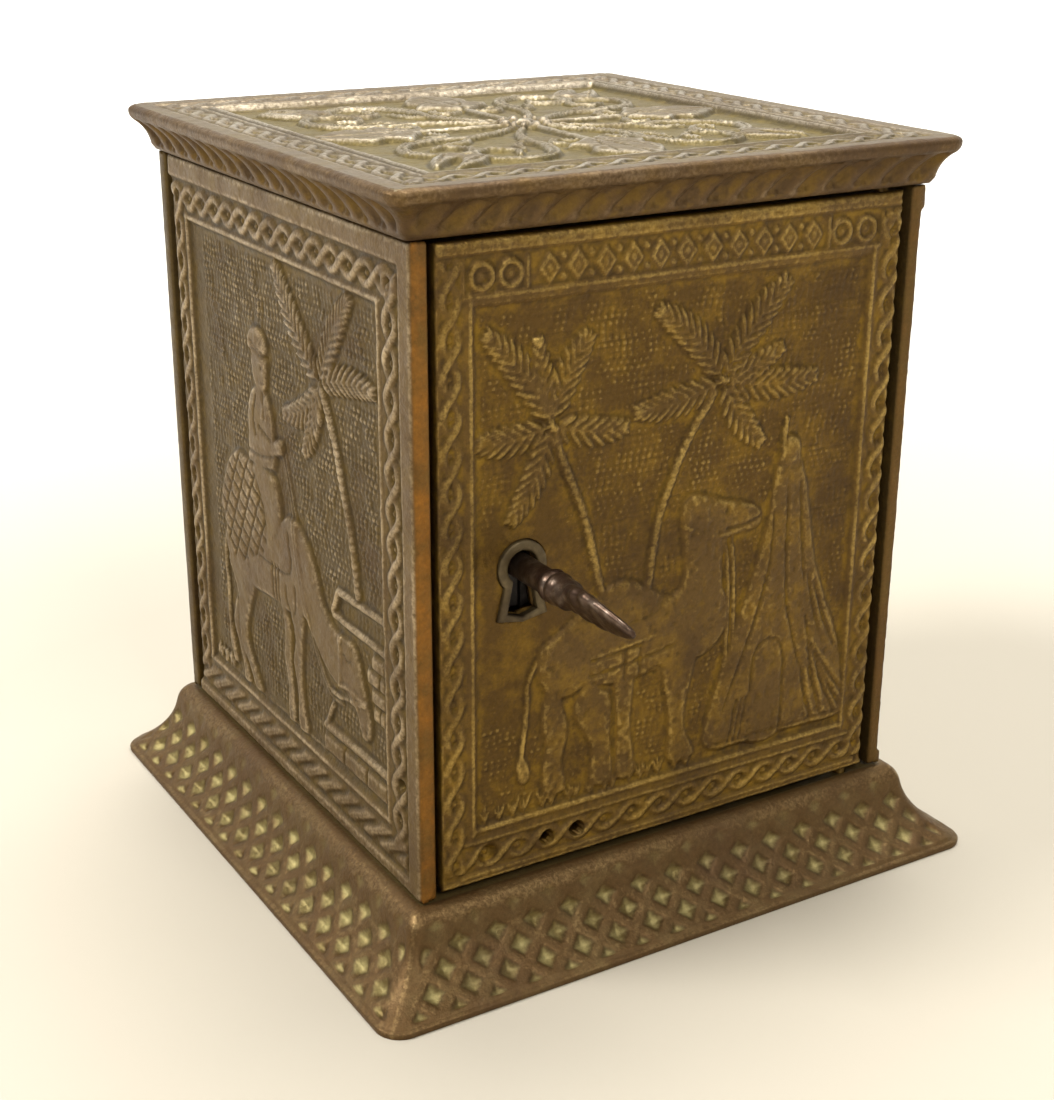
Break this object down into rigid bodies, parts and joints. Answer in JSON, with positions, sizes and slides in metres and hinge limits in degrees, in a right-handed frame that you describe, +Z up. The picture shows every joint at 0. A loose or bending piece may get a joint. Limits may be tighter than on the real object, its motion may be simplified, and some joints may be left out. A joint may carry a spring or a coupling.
{
  "type": "toy safe coin bank",
  "caption": "Small cast-iron safe-shaped coin bank with a flared base, moulded top, relief panels and a hinged door that a key locks.",
  "frame": {"origin": "on the plane of the foot, under the middle of the whole outline with the key in its lock", "axes": "+Z up, -Y the way the door faces, +X to the right of a person facing the door"},
  "size_m": [0.1086, 0.1224, 0.116],
  "materials": {
    "door_iron": "worn japanned iron with gilt in the recesses",
    "panel_iron": "worn japanned iron with gilt in the recesses",
    "base_iron": "worn brown japanned iron with gilt in the recesses",
    "top_iron": "worn brown japanned iron with gilt in the recesses",
    "inner_iron": "dark unpainted iron",
    "lock_steel": "dull filed steel",
    "key_steel": "brown tarnished steel, worn bright on its edges"
  },
  "bodies": {
    "root": {"base_casting": "base_iron", "top_casting": "top_iron", "left_side_panel": "panel_iron", "right_side_panel": "panel_iron", "back_panel": "panel_iron", "bolt_keeper": "inner_iron", "keeper_rivet_1": "lock_steel", "keeper_rivet_2": "lock_steel", "tie_rod_1": "lock_steel", "tie_rod_2": "lock_steel", "tie_rod_3": "lock_steel", "tie_rod_4": "lock_steel", "tie_nut_1": "inner_iron", "tie_nut_2": "inner_iron", "tie_nut_3": "inner_iron", "tie_nut_4": "inner_iron"},
    "door": {"door_panel": "door_iron", "keyhole_escutcheon": "inner_iron", "lock_case": "inner_iron", "lock_screw_1": "lock_steel", "lock_screw_2": "lock_steel", "bolt_spring": "lock_steel"},
    "cam": {"lock_cam": "lock_steel"},
    "bolt": {"lock_bolt": "lock_steel"},
    "key": {"key": "key_steel"}
  },
  "joints": [
    {"name": "door_swing", "type": "hinge", "parent": "root", "child": "door", "pos_m": [0.0355, -0.0331, 0.0611], "axis": [0, 0, 1], "range_deg": [0, 120]},
    {"name": "key_turn", "type": "hinge", "parent": "door", "child": "cam", "pos_m": [-0.026, -0.029, 0.0618], "axis": [0, -1, 0], "range_deg": [0, 90]},
    {"name": "bolt_slide", "type": "slide", "parent": "door", "child": "bolt", "axis": [-1, 0, 0], "range_m": [0, 0.005]},
    {"name": "key_withdraw", "type": "slide", "parent": "cam", "child": "key", "axis": [0, -1, 0], "range_m": [0, 0.022]}
  ],
  "couplings": [
    {"joint": "bolt_slide", "follows": "key_turn", "m_per_rad": 0.00318}
  ]
}
